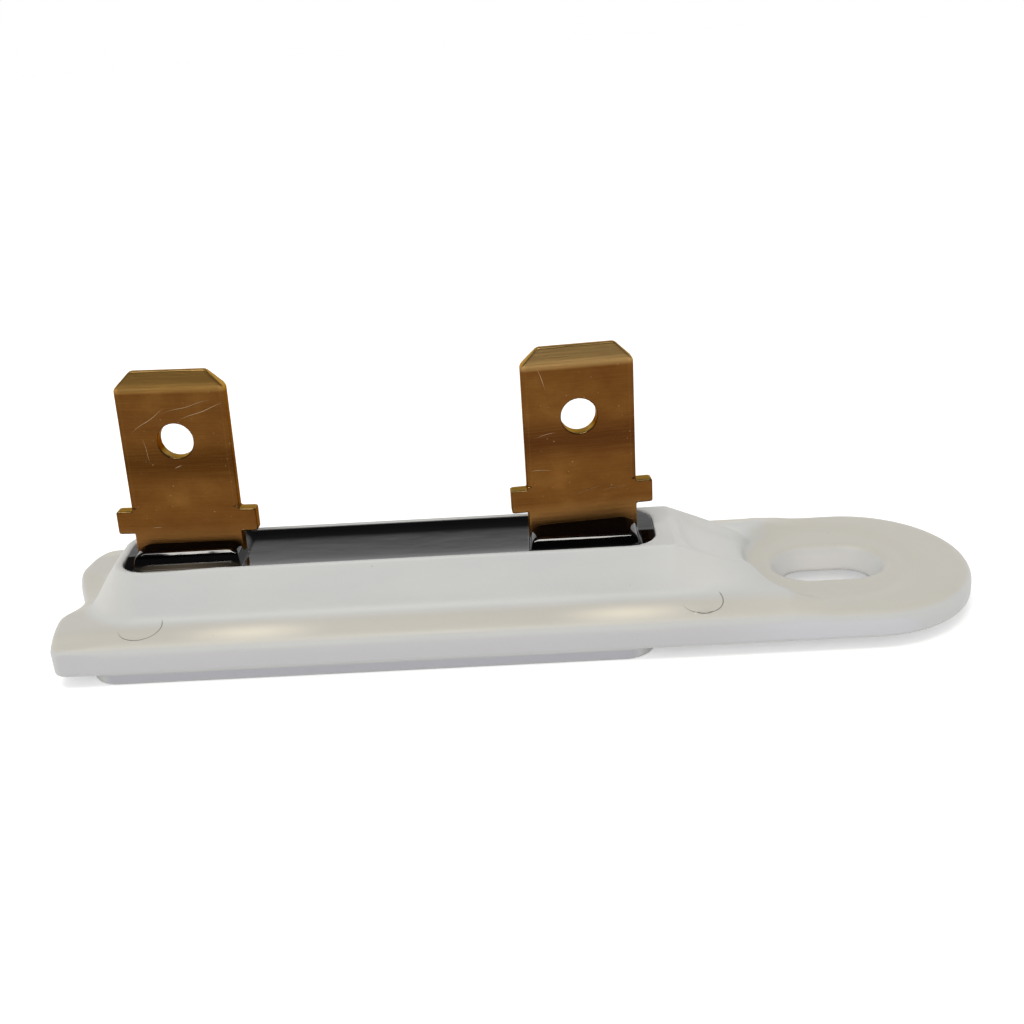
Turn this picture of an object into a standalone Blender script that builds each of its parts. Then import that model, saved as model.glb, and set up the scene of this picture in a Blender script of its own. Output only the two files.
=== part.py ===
"""Thermal fuse: a one-shot pellet cutoff potted in a moulded housing, with two blade terminals.

X runs along the housing from its plain end to its slotted ear, Y is across it and Z is up. The origin is
under the middle of the housing, on the surface that its pad rests on.
"""
import math

import bmesh
import bpy
from mathutils import Matrix, Vector

MM = 0.001

# Housing: the moulded flange, its pad and its ear
HOUSING_LENGTH = 53.4 * MM
HOUSING_WIDTH = 13.5 * MM
PAD_HEIGHT = 0.75 * MM
PAD_INSET = 0.27 * MM
PAD_START = 2.1 * MM
PAD_LENGTH = 32.3 * MM
PAD_CORNER = 1.8 * MM
EAR_THICKNESS = 1.45 * MM
TABLE_THICKNESS = 2.0 * MM
TABLE_FALL = 12.0
TABLE_LEVEL_WIDTH = 10.0 * MM
EDGE_RADIUS = 0.35 * MM

# Ridge: the loaf that holds the pocket, with a ramp down to the ear
RIM_HEIGHT = 5.25 * MM
RIM_WIDTH = 5.56 * MM
FLANK_SLOPE = 55.0
FLANK_FILLET = 1.1 * MM
RIDGE_CORNER = 1.6 * MM
RAMP_LENGTH = 4.6 * MM
RAMP_DROP = 1.79 * MM
RAMP_TAPER = 0.66 * MM
TROUGH_DEPTH = 0.35 * MM
TROUGH_CREST = 0.3 * MM
TROUGH_START = 0.25 * MM
TABLE_END_RUN = 2.2 * MM
TABLE_END_START = 1.57 * MM
TABLE_END_SINK = 0.055 * MM
STEP_ASIDE = 0.01 * MM

# Plain end: two lobes either side of a dished locating notch
NOTCH_WIDTH = 2.7 * MM
NOTCH_DEPTH = 1.0 * MM
LOBE_CENTRE = 3.4 * MM
LOBE_CORNER_INSET = 0.65 * MM
DISH_RADIUS = 4.0 * MM
DISH_DEPTH = 0.75 * MM

# Ear: the slot and the clearance for the screw's head
SLOT_LENGTH = 6.8 * MM
SLOT_WIDTH = 4.6 * MM
SLOT_INSET = 1.5 * MM
SCREW_HEAD_CLEARANCE = 9.6 * MM
EAR_LAP = 0.2 * MM
EAR_DRAW_IN = 0.04 * MM

# Ejector-pin marks on the flange
EJECTOR_DIAMETER = 2.3 * MM
EJECTOR_LEVEL = 2.66 * MM
EJECTOR_OFFSET = 5.2 * MM
EJECTOR_START = 5.1 * MM
EJECTOR_PITCH = 32.1 * MM

# Pocket and potting
POCKET_WIDTH = 5.2 * MM
POCKET_FLOOR = 1.3 * MM
WELL_FLOOR = 0.5 * MM
WELL_MARGIN = 0.4 * MM
POCKET_CORNER = 1.4 * MM
POCKET_OVERHANG = 4.15 * MM
NOSE_WALL = 0.2 * MM
END_WALL = 0.95 * MM
POTTING_SAG = 0.4 * MM
POTTING_CLIMB = 0.8 * MM
BEAD_OVERHANG = 0.7 * MM
BEAD_RUN = 1.3 * MM

# Blade terminals
TERMINAL_INSET = 7.5 * MM
TERMINAL_PITCH = 23.2 * MM
BLADE_WIDTH = 6.35 * MM
BLADE_THICKNESS = 0.81 * MM
BLADE_LENGTH = 8.35 * MM
BLADE_CHAMFER = 1.0 * MM
COIN_LENGTH = 1.0 * MM
COIN_DEPTH = 0.22 * MM
HOLE_DIAMETER = 2.06 * MM
HOLE_FROM_TIP = 4.1 * MM
SHOULDER_TOP = 8.0 * MM
SHOULDER_WIDTH = 8.25 * MM
SHOULDER_HEIGHT = 1.4 * MM
SHOULDER_FALL = 0.04 * MM
TAIL_BOTTOM = 1.8 * MM

# Cutoff: the cup, its leads and what they hold
CASE_DIAMETER = 3.7 * MM
CASE_LENGTH = 10.8 * MM
CASE_WALL = 0.25 * MM
CASE_AXIS = 2.65 * MM
LEAD_DIAMETER = 0.8 * MM
LEAD_LAP = 3.6 * MM
LEAD_HEAD_DIAMETER = 1.6 * MM
LEAD_HEAD_THICKNESS = 0.35 * MM
PELLET_LENGTH = 2.6 * MM
DISC_THICKNESS = 0.25 * MM
BARREL_SPRING_LENGTH = 1.9 * MM
SPRING_WIRE = 0.3 * MM
STAR_THICKNESS = 0.3 * MM
STAR_FINGERS = 8
STAR_NOTCH = 0.35 * MM
BUSHING_LENGTH = 2.0 * MM
SEAL_LENGTH = 0.9 * MM

# Clearances
MOULD_GAP = 0.12 * MM
SEAT_GAP = 0.1 * MM
RUNNING_GAP = 0.08 * MM

# Points closer than this are one point
CLOSE = 0.002 * MM

# Steps of the curved sections
CORNER_STEPS = 4
ROUND_SEGMENTS = 32
WIRE_STEPS = 10

# Places that follow from the sizes above
PLAIN_END = -HOUSING_LENGTH / 2
HALF_WIDTH = HOUSING_WIDTH / 2
EAR_CENTRE = HOUSING_LENGTH / 2 - HALF_WIDTH
EAR_TOP = PAD_HEIGHT + EAR_THICKNESS
TABLE_TOP = PAD_HEIGHT + TABLE_THICKNESS
SLOT_CENTRE = EAR_CENTRE - SLOT_INSET
LEFT_TERMINAL = PLAIN_END + TERMINAL_INSET
RIGHT_TERMINAL = LEFT_TERMINAL + TERMINAL_PITCH
POCKET_START = LEFT_TERMINAL - POCKET_OVERHANG
POCKET_END = RIGHT_TERMINAL + POCKET_OVERHANG
NOSE_TOP = POCKET_START - NOSE_WALL
RAMP_START = POCKET_END + END_WALL
RAMP_END = RAMP_START + RAMP_LENGTH
CUTOFF_CENTRE = (LEFT_TERMINAL + RIGHT_TERMINAL) / 2
CASE_CLOSED_END = CUTOFF_CENTRE - CASE_LENGTH / 2
CASE_OPEN_END = CUTOFF_CENTRE + CASE_LENGTH / 2
CASE_BORE = CASE_DIAMETER / 2 - CASE_WALL
NOSE_FOOT = NOSE_TOP - (RIM_HEIGHT - TABLE_TOP) / math.tan(math.radians(FLANK_SLOPE))


def clear_scene():
    for item in list(bpy.data.objects):
        bpy.data.objects.remove(item, do_unlink=True)


def new_collection(name):
    collection = bpy.data.collections.new(name)
    bpy.context.scene.collection.children.link(collection)
    return collection


def material(name, colour, roughness, metallic=0.0):
    made = bpy.data.materials.new(name)
    made.use_nodes = True
    surface = made.node_tree.nodes["Principled BSDF"]
    surface.inputs["Base Color"].default_value = (*colour, 1.0)
    surface.inputs["Roughness"].default_value = roughness
    surface.inputs["Metallic"].default_value = metallic
    made.diffuse_color = (*colour, 1.0)
    return made


def mesh_object(name, mesh, collection):
    made = bpy.data.objects.new(name, mesh)
    collection.objects.link(made)
    return made


def outward(mesh):
    """Turns a closed mesh's faces outwards."""
    work = bmesh.new()
    work.from_mesh(mesh)
    bmesh.ops.recalc_face_normals(work, faces=work.faces)
    work.to_mesh(mesh)
    work.free()


def lofted(name, sections, collection):
    """Joins closed sections, given as equal lists of points, into one capped solid."""
    count = len(sections[0])
    points = [point for section in sections for point in section]
    faces = []
    for row in range(len(sections) - 1):
        for step in range(count):
            after = (step + 1) % count
            here = row * count
            there = here + count
            faces.append((here + step, here + after, there + after, there + step))
    faces.append(tuple(range(count)))
    faces.append(tuple(range(len(points) - count, len(points))))
    mesh = bpy.data.meshes.new(name)
    mesh.from_pydata(points, [], faces)
    outward(mesh)
    return mesh_object(name, mesh, collection)


def mirrored_sections(half_section, stations):
    """Whole sections across Y from a half section that starts and ends on the middle plane."""
    sections = []
    for x in stations:
        half = half_section(x)
        near = [(x, y, z) for y, z in half]
        far = [(x, -y, z) for y, z in reversed(half[1:-1])]
        sections.append(near + far)
    return sections


def from_curve(curve_object, collection):
    """Replaces a curve object by the closed mesh that it draws."""
    bpy.context.view_layer.update()
    graph = bpy.context.evaluated_depsgraph_get()
    mesh = bpy.data.meshes.new_from_object(curve_object.evaluated_get(graph))
    work = bmesh.new()
    work.from_mesh(mesh)
    bmesh.ops.remove_doubles(work, verts=work.verts, dist=CLOSE)
    bmesh.ops.recalc_face_normals(work, faces=work.faces)
    work.to_mesh(mesh)
    work.free()
    name = curve_object.name
    placed = curve_object.matrix_world.copy()
    curve_object.name = name + "_curve"
    made = mesh_object(name, mesh, collection)
    made.matrix_world = placed
    data = curve_object.data
    bpy.data.objects.remove(curve_object, do_unlink=True)
    bpy.data.curves.remove(data)
    return made


def flat_plate(name, outlines, bottom, top, collection, edge=0.0):
    """A plate from flat outlines in XY, the first the outer one, with rounded top and bottom edges."""
    curve = bpy.data.curves.new(name, "CURVE")
    curve.dimensions = "2D"
    curve.fill_mode = "BOTH"
    for outline in outlines:
        spline = curve.splines.new("POLY")
        spline.points.add(len(outline) - 1)
        for point, (x, y) in zip(spline.points, outline):
            point.co = (x, y, 0.0, 1.0)
        spline.use_cyclic_u = True
    curve.extrude = (top - bottom) / 2 - edge
    curve.bevel_depth = edge
    curve.bevel_resolution = 2
    curve.offset = -edge
    made = bpy.data.objects.new(name, curve)
    collection.objects.link(made)
    plate = from_curve(made, collection)
    middle = (top + bottom) / 2
    for vertex in plate.data.vertices:
        height = vertex.co.z + middle
        if abs(height - bottom) < CLOSE:
            height = bottom
        if abs(height - top) < CLOSE:
            height = top
        vertex.co.z = height
    return plate


def wire(name, points, diameter, collection):
    """A round wire with filled ends along a line of points."""
    curve = bpy.data.curves.new(name, "CURVE")
    curve.dimensions = "3D"
    curve.bevel_depth = diameter / 2
    curve.bevel_resolution = 2
    curve.use_fill_caps = True
    spline = curve.splines.new("POLY")
    spline.points.add(len(points) - 1)
    for point, place in zip(spline.points, points):
        point.co = (*place, 1.0)
    made = bpy.data.objects.new(name, curve)
    collection.objects.link(made)
    return from_curve(made, collection)


def cylinder(name, radius, length, centre, axis, collection, segments=ROUND_SEGMENTS, end_radius=None):
    """A cylinder or cone about an axis through its centre."""
    mesh = bpy.data.meshes.new(name)
    work = bmesh.new()
    bmesh.ops.create_cone(
        work, cap_ends=True, segments=segments, radius1=radius,
        radius2=radius if end_radius is None else end_radius, depth=length)
    work.to_mesh(mesh)
    work.free()
    made = mesh_object(name, mesh, collection)
    made.matrix_world = Matrix.Translation(centre) @ Vector(axis).to_track_quat("Z", "Y").to_matrix().to_4x4()
    return made


def box(name, low, high, collection):
    mesh = bpy.data.meshes.new(name)
    work = bmesh.new()
    bmesh.ops.create_cube(work, size=1.0)
    size = [b - a for a, b in zip(low, high)]
    bmesh.ops.scale(work, vec=size, verts=work.verts)
    work.to_mesh(mesh)
    work.free()
    made = mesh_object(name, mesh, collection)
    made.location = [(a + b) / 2 for a, b in zip(low, high)]
    return made


def turned(name, profile, start, collection, segments=ROUND_SEGMENTS):
    """Turns a profile of (radius, distance) about the cutoff's axis, from start along +X.

    A profile that starts on the axis ends on it, and any other is closed into a ring.
    """
    mesh = bpy.data.meshes.new(name)
    points = [(radius, 0.0, distance) for radius, distance in profile]
    edges = [(index, index + 1) for index in range(len(points) - 1)]
    if profile[0][0] > 0.0:
        edges.append((len(points) - 1, 0))
    mesh.from_pydata(points, edges, [])
    made = mesh_object(name, mesh, collection)
    screw = made.modifiers.new("Turn", "SCREW")
    screw.steps = segments
    screw.render_steps = segments
    screw.use_merge_vertices = True
    screw.merge_threshold = 0.001 * MM
    made.matrix_world = Matrix.Translation((start, 0.0, CASE_AXIS)) @ Matrix.Rotation(math.pi / 2, 4, "Y")
    return made


def boolean(target, other, operation):
    step = target.modifiers.new(other.name, "BOOLEAN")
    step.object = other
    step.operation = operation
    step.solver = "EXACT"


def smooth(target, angle=35.0):
    """Shades a piece smooth, apart from its sharp edges."""
    bpy.context.view_layer.update()
    mesh = target.data
    mesh.shade_smooth()
    mesh.set_sharp_from_angle(angle=math.radians(angle))


def arc(centre, radius, start, end, steps):
    """Points along an arc, with angles in degrees."""
    points = []
    for step in range(steps + 1):
        angle = math.radians(start + (end - start) * step / steps)
        points.append((centre[0] + radius * math.cos(angle), centre[1] + radius * math.sin(angle)))
    return points


def rounded_rectangle(low, high, radius, steps=2 * CORNER_STEPS):
    points = arc((high[0] - radius, high[1] - radius), radius, 0, 90, steps)
    points += arc((low[0] + radius, high[1] - radius), radius, 90, 180, steps)
    points += arc((low[0] + radius, low[1] + radius), radius, 180, 270, steps)
    points += arc((high[0] - radius, low[1] + radius), radius, 270, 360, steps)
    return points


def ramp_share(x):
    """How far along the ramp a station lies: 0 on the ridge, 1 at the ramp's end."""
    return max(0.0, (x - RAMP_START) / RAMP_LENGTH)


def table_height(x):
    """The flange's top beside the ridge, which runs out to the ear's level past the ramp."""
    past = max((x - RAMP_END - TABLE_END_START) / TABLE_END_RUN, 0.0)
    return max(TABLE_TOP + (EAR_TOP - TABLE_TOP) * past, EAR_TOP - TABLE_END_SINK)


def half_width_at(x):
    """Half of the body's width: past the ramp its sides draw in a little, under the ear's plate."""
    past = (x - RAMP_END) / (TABLE_END_START + TABLE_END_RUN)
    return HALF_WIDTH - EAR_DRAW_IN * min(max(past, 0.0), 1.0)


def flank(crest_half_width, crest_height, table):
    """The flank from its crest through the fillet at its foot: (y, z) points, ending on the table."""
    foot = RIM_WIDTH / 2 + (RIM_HEIGHT - TABLE_TOP) / math.tan(math.radians(FLANK_SLOPE))
    run = foot - crest_half_width
    slope = math.atan2(max(crest_height - table, 0.0), run)
    tangent = FLANK_FILLET * math.tan(slope / 2)
    centre = (foot + tangent, table + FLANK_FILLET)
    points = [(crest_half_width, crest_height)]
    for step in range(CORNER_STEPS + 1):
        angle = -math.pi / 2 - slope * (1 - step / CORNER_STEPS)
        spread = STEP_ASIDE * step
        y = centre[0] + FLANK_FILLET * math.cos(angle) + spread
        points.append((y, centre[1] + FLANK_FILLET * math.sin(angle)))
    return points


def height_at(points, y):
    """The height of a line of (y, z) points at y."""
    for (y0, z0), (y1, z1) in zip(points, points[1:]):
        if y <= y1:
            return z0 + (z1 - z0) * (y - y0) / (y1 - y0)
    return points[-1][1]


def upper_section(x):
    """Half of the housing's section at x, from the middle of its top round to the middle of its underside."""
    share = ramp_share(x)
    table = table_height(x)
    crest_height = max(RIM_HEIGHT - RAMP_DROP * share, table)
    crest_half = RIM_WIDTH / 2 - RAMP_TAPER * min(share, 1.3) ** 2
    line = flank(crest_half, crest_height, table)

    corner = (NOSE_TOP + RIDGE_CORNER, RIM_WIDTH / 2 - RIDGE_CORNER)
    behind = corner[0] - x
    if behind > 0.0:
        level = height_at(line, RIM_WIDTH / 2 + max(behind - RIDGE_CORNER, 0.0))
        wrapped = []
        hidden = sum(1 for y, z in line if y - corner[1] <= behind)
        for index, (y, z) in enumerate(line):
            if index < hidden:
                wrapped.append((corner[1] - TROUGH_CREST * 0.2 * (hidden - 1 - index), level))
            else:
                wrapped.append((corner[1] + math.sqrt((y - corner[1]) ** 2 - behind ** 2), z))
        line = wrapped

    trough = TROUGH_DEPTH if x > RAMP_START + TROUGH_START * 1.5 and x < RAMP_END + TABLE_END_RUN * 0.4 else 0.0
    inner = line[0][0]
    top = line[0][1]
    points = [(0.0, top - trough), (inner - 2 * TROUGH_CREST, top - trough), (inner - TROUGH_CREST, top)]
    points += line

    fall = math.radians(TABLE_FALL)
    level_end = max(TABLE_LEVEL_WIDTH / 2, line[-1][0] + STEP_ASIDE)
    half_width = half_width_at(x)
    edge_y = half_width - EDGE_RADIUS
    edge_z = max(table - (HALF_WIDTH - TABLE_LEVEL_WIDTH / 2) * math.tan(fall), EAR_TOP - TABLE_END_SINK)
    points.append((level_end, table))
    points += arc((edge_y, edge_z - EDGE_RADIUS), EDGE_RADIUS, 90 - TABLE_FALL / 2, 0, CORNER_STEPS)
    points.append((half_width, PAD_HEIGHT))
    points.append((0.0, PAD_HEIGHT))
    return points


def ridge_stations():
    """Where the housing's sections stand: close together round the nose and down the ramp."""
    corner = NOSE_TOP + RIDGE_CORNER
    foot_run = (RIM_HEIGHT - TABLE_TOP) / math.tan(math.radians(FLANK_SLOPE))
    stations = [PLAIN_END - NOTCH_DEPTH, NOSE_TOP - foot_run - FLANK_FILLET]
    stations += [NOSE_TOP - foot_run * share for share in (1.25, 1.08, 0.9, 0.72, 0.48, 0.24, 0.1, 0.0)]
    stations += [corner - RIDGE_CORNER * math.cos(math.radians(angle)) for angle in (25, 45, 65, 90)]
    stations += [RAMP_START, RAMP_START + TROUGH_START, RAMP_START + 2 * TROUGH_START]
    stations += [RAMP_START + RAMP_LENGTH * share for share in (0.3, 0.5, 0.7, 0.85, 1.0)]
    run_out = RAMP_END + TABLE_END_START
    stations += [RAMP_END + TABLE_END_START / 2]
    stations += [run_out + TABLE_END_RUN * share for share in (0.0, 0.25, 0.5, 0.75, 1.0, 1.15)]
    return stations


def end_outline():
    """The plan of the body: two lobes and a notch at the plain end, and the ear's round end."""
    half_notch = NOTCH_WIDTH / 2
    wide = HALF_WIDTH * 1.2
    slant = LOBE_CORNER_INSET / (HALF_WIDTH - LOBE_CENTRE)
    half = [(PLAIN_END + NOTCH_DEPTH, 0.0), (PLAIN_END + NOTCH_DEPTH, half_notch * 0.55)]
    half += [(PLAIN_END + NOTCH_DEPTH * 0.83, half_notch)]
    half += [(PLAIN_END + NOTCH_DEPTH * 0.45, half_notch + (LOBE_CENTRE - half_notch) * 0.3)]
    half += [(PLAIN_END + NOTCH_DEPTH * 0.12, half_notch + (LOBE_CENTRE - half_notch) * 0.62)]
    half += [(PLAIN_END, LOBE_CENTRE)]
    corner_y = HALF_WIDTH - EDGE_RADIUS
    half += [(PLAIN_END + slant * (corner_y - LOBE_CENTRE), corner_y)]
    half += [(PLAIN_END + LOBE_CORNER_INSET + EDGE_RADIUS, HALF_WIDTH), (PLAIN_END + wide, wide)]
    half += [(EAR_CENTRE, wide)]
    half += arc((EAR_CENTRE, 0.0), HALF_WIDTH - 3 * EAR_DRAW_IN, 90, 0, ROUND_SEGMENTS // 2 - 1)
    return half + [(x, -y) for x, y in reversed(half[1:-1])]


def ear_outline():
    start = min(SLOT_CENTRE - SCREW_HEAD_CLEARANCE / 2, RAMP_END) - EAR_LAP
    rim = arc((EAR_CENTRE, 0.0), HALF_WIDTH, -90, 90, ROUND_SEGMENTS)
    return rim + [(start, HALF_WIDTH - EAR_DRAW_IN), (start, EAR_DRAW_IN - HALF_WIDTH)]


def slot_outline(growth=0.0):
    half = SLOT_WIDTH / 2 + growth
    reach = (SLOT_LENGTH - SLOT_WIDTH) / 2
    steps = ROUND_SEGMENTS // 2
    return (arc((SLOT_CENTRE + reach, 0.0), half, -90, 90, steps)
            + arc((SLOT_CENTRE - reach, 0.0), half, 90, 270, steps))


def dish_section(x, slant):
    """The dish's round section at x, leaning with the nose's flank where slant is 1."""
    lean = slant / math.tan(math.radians(FLANK_SLOPE))
    ring = arc((0.0, TABLE_TOP - DISH_DEPTH + DISH_RADIUS), DISH_RADIUS, -90, 270, 2 * ROUND_SEGMENTS)[:-1]
    return [(x - STEP_ASIDE + (z - TABLE_TOP) * lean, y, z) for y, z in ring]


def floor_height(x):
    """The pocket's floor, which drops under the cutoff into a well with sloping ends."""
    level = CASE_LENGTH / 2 + WELL_MARGIN
    past = (abs(x - CUTOFF_CENTRE) - level) / (POCKET_FLOOR - WELL_FLOOR)
    return WELL_FLOOR + (POCKET_FLOOR - WELL_FLOOR) * min(max(past, 0.0), 1.0)


def well_section(x):
    half = POCKET_WIDTH / 2
    return [(0.0, CASE_AXIS), (half, CASE_AXIS), (half, floor_height(x)), (0.0, floor_height(x))]


def well_stations(gap):
    level = CASE_LENGTH / 2 + WELL_MARGIN - gap
    slope = POCKET_FLOOR - WELL_FLOOR
    return [CUTOFF_CENTRE + run for run in (-level - slope, -level, level, level + slope)]


def build_housing(parts, cutters, surface):
    housing = lofted("housing", mirrored_sections(upper_section, ridge_stations()), parts)
    plan = flat_plate("body_plan", [end_outline()], 0.0, 2 * RIM_HEIGHT, cutters)
    boolean(housing, plan, "INTERSECT")
    pad_half = HALF_WIDTH - PAD_INSET
    pad_low = (PLAIN_END + PAD_START, -pad_half)
    pad_high = (PLAIN_END + PAD_START + PAD_LENGTH, pad_half)
    pad = flat_plate("pad_plate", [rounded_rectangle(pad_low, pad_high, PAD_CORNER)],
                     0.0, (PAD_HEIGHT + EAR_TOP) / 2, cutters)
    boolean(housing, pad, "UNION")
    head = cylinder("screw_head_clearance", SCREW_HEAD_CLEARANCE / 2, 4 * RIM_HEIGHT,
                    (SLOT_CENTRE, 0.0, 0.0), (0, 0, 1), cutters, segments=2 * ROUND_SEGMENTS)
    boolean(housing, head, "DIFFERENCE")
    ear = flat_plate("ear_plate", [ear_outline()], PAD_HEIGHT, EAR_TOP, cutters, edge=EDGE_RADIUS * 0.6)
    boolean(housing, ear, "UNION")

    pocket_outline = rounded_rectangle((POCKET_START, -POCKET_WIDTH / 2), (POCKET_END, POCKET_WIDTH / 2),
                                       POCKET_CORNER)
    pocket = flat_plate("pocket", [pocket_outline], POCKET_FLOOR, 2 * RIM_HEIGHT, cutters)
    boolean(housing, pocket, "DIFFERENCE")
    well = lofted("well", mirrored_sections(well_section, well_stations(0.0)), cutters)
    boolean(housing, well, "DIFFERENCE")
    slot = flat_plate("slot", [slot_outline()], -PAD_HEIGHT, 2 * EAR_TOP, cutters)
    boolean(housing, slot, "DIFFERENCE")
    dish = lofted("end_dish", [dish_section(PLAIN_END - NOTCH_DEPTH, 0.0), dish_section(NOSE_FOOT, 1.0)], cutters)
    boolean(housing, dish, "DIFFERENCE")
    for index, x in enumerate((PLAIN_END + EJECTOR_START, PLAIN_END + EJECTOR_START + EJECTOR_PITCH)):
        for side in (-1, 1):
            depth = EAR_THICKNESS / 2
            mark = cylinder(f"ejector_mark_{index}_{side + 1}", EJECTOR_DIAMETER / 2, depth,
                            (x, side * EJECTOR_OFFSET, EJECTOR_LEVEL - depth / 2), (0, 0, 1), cutters,
                            segments=24)
            boolean(housing, mark, "UNION")
    housing.data.materials.append(surface)
    smooth(housing, 30.0)
    return housing


def bead_share(x):
    """1 where a bead of potting climbs a blade, falling to 0 beyond its ends."""
    share = 0.0
    for centre in (LEFT_TERMINAL, RIGHT_TERMINAL):
        past = abs(x - centre) - BLADE_WIDTH / 2 - BEAD_OVERHANG
        near = min(max(1.0 - past / BEAD_RUN, 0.0), 1.0)
        share = max(share, near * near * (3 - 2 * near))
    return share


def potting_section(x):
    """Half of the potting's section at x: a sagging pool between the blades and a bead along each."""
    half = POCKET_WIDTH / 2 - MOULD_GAP
    start = POCKET_START + MOULD_GAP
    end = POCKET_END - MOULD_GAP
    corner = POCKET_CORNER - MOULD_GAP
    into = min(x - start, end - x, corner)
    half = half - corner + math.sqrt(max(corner ** 2 - (corner - into) ** 2, 0.0))
    half = max(half, POCKET_WIDTH / 2 - MOULD_GAP - corner + 0.02 * MM)
    share = bead_share(x)
    pool = RIM_HEIGHT - POTTING_SAG
    bead = RIM_HEIGHT + POTTING_CLIMB
    points = []
    for step in range(7):
        across = step / 6
        pool_height = pool + (RIM_HEIGHT - pool) * across ** 3
        bead_height = RIM_HEIGHT + (bead - RIM_HEIGHT) * (1 - across ** 2.2)
        points.append((half * across, pool_height + (bead_height - pool_height) * share))
    away = x + math.copysign(MOULD_GAP, x - CUTOFF_CENTRE)
    points.append((half, floor_height(away) + MOULD_GAP))
    points.append((0.0, floor_height(away) + MOULD_GAP))
    return points


def potting_stations():
    start = POCKET_START + MOULD_GAP
    end = POCKET_END - MOULD_GAP
    corner = POCKET_CORNER - MOULD_GAP
    stations = [start + corner * (1 - math.cos(math.radians(angle))) for angle in (0, 30, 55, 75, 90)]
    stations += [end - corner * (1 - math.cos(math.radians(angle))) for angle in (0, 30, 55, 75, 90)]
    for centre, side in ((LEFT_TERMINAL, 1), (RIGHT_TERMINAL, -1)):
        edge = BLADE_WIDTH / 2 + BEAD_OVERHANG
        stations += [centre + side * (edge + BEAD_RUN * share) for share in (0.0, 0.25, 0.5, 0.75, 1.0)]
    return sorted(set(stations + well_stations(MOULD_GAP)))


def lead_points(case_end, terminal):
    """A lead's line from the cutoff's axis to the back of a blade's tail, with a soft double bend."""
    side = 1 if terminal > case_end else -1
    offset = BLADE_THICKNESS / 2 + SEAT_GAP + LEAD_DIAMETER / 2
    tail_edge = terminal - side * BLADE_WIDTH / 2
    bend_start = case_end + side * SEAL_LENGTH
    bend_end = tail_edge - side * SEAT_GAP
    points = [(case_end, 0.0, CASE_AXIS)]
    for step in range(WIRE_STEPS + 1):
        share = step / WIRE_STEPS
        eased = share * share * (3 - 2 * share)
        points.append((bend_start + (bend_end - bend_start) * share, offset * eased, CASE_AXIS))
    points.append((tail_edge + side * LEAD_LAP, offset, CASE_AXIS))
    return points


def build_potting(parts, cutters, surface):
    potting = lofted("potting", mirrored_sections(potting_section, potting_stations()), parts)
    rooms = (("left", CASE_CLOSED_END, LEFT_TERMINAL), ("right", CASE_OPEN_END, RIGHT_TERMINAL))
    half_width = BLADE_WIDTH / 2 + SEAT_GAP
    half_depth = BLADE_THICKNESS / 2 + SEAT_GAP
    for name, case_end, terminal in rooms:
        tail_room = box(f"tail_room_{name}",
                        (terminal - half_width, -half_depth, TAIL_BOTTOM - SEAT_GAP),
                        (terminal + half_width, half_depth, 2 * RIM_HEIGHT), cutters)
        boolean(potting, tail_room, "DIFFERENCE")
    for name, case_end, terminal in rooms:
        side = 1 if terminal > case_end else -1
        points = lead_points(case_end, terminal)
        points[-1] = (points[-1][0] + side * SEAT_GAP, points[-1][1], points[-1][2])
        lead_room = wire(f"lead_room_{name}", points, LEAD_DIAMETER + 2 * SEAT_GAP, cutters)
        boolean(potting, lead_room, "DIFFERENCE")
    core = CASE_DIAMETER / 2 + SEAT_GAP
    case_room = cylinder("case_room", core, CASE_LENGTH + 2 * SEAT_GAP, (CUTOFF_CENTRE, 0.0, CASE_AXIS),
                         (1, 0, 0), cutters)
    boolean(potting, case_room, "DIFFERENCE")
    seal_room = cylinder("seal_room", CASE_BORE, SEAL_LENGTH + SEAT_GAP,
                         (CASE_OPEN_END + (SEAL_LENGTH + SEAT_GAP) / 2, 0.0, CASE_AXIS), (1, 0, 0), cutters,
                         end_radius=CASE_BORE * 0.6 + SEAT_GAP)
    boolean(potting, seal_room, "DIFFERENCE")
    potting.data.materials.append(surface)
    smooth(potting, 40.0)
    return potting


def terminal_outline():
    """The stamped blade's outline in its own plane, from the middle of its tail round its tip."""
    tip = SHOULDER_TOP + BLADE_LENGTH
    half = BLADE_WIDTH / 2
    shoulder = SHOULDER_WIDTH / 2
    under = SHOULDER_TOP - SHOULDER_HEIGHT
    side = [(half, TAIL_BOTTOM), (half, under), (shoulder, under + SHOULDER_FALL),
            (shoulder, SHOULDER_TOP - SHOULDER_FALL), (half, SHOULDER_TOP),
            (half, tip - BLADE_CHAMFER), (half - BLADE_CHAMFER, tip)]
    return side + [(-x, z) for x, z in reversed(side)]


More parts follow.
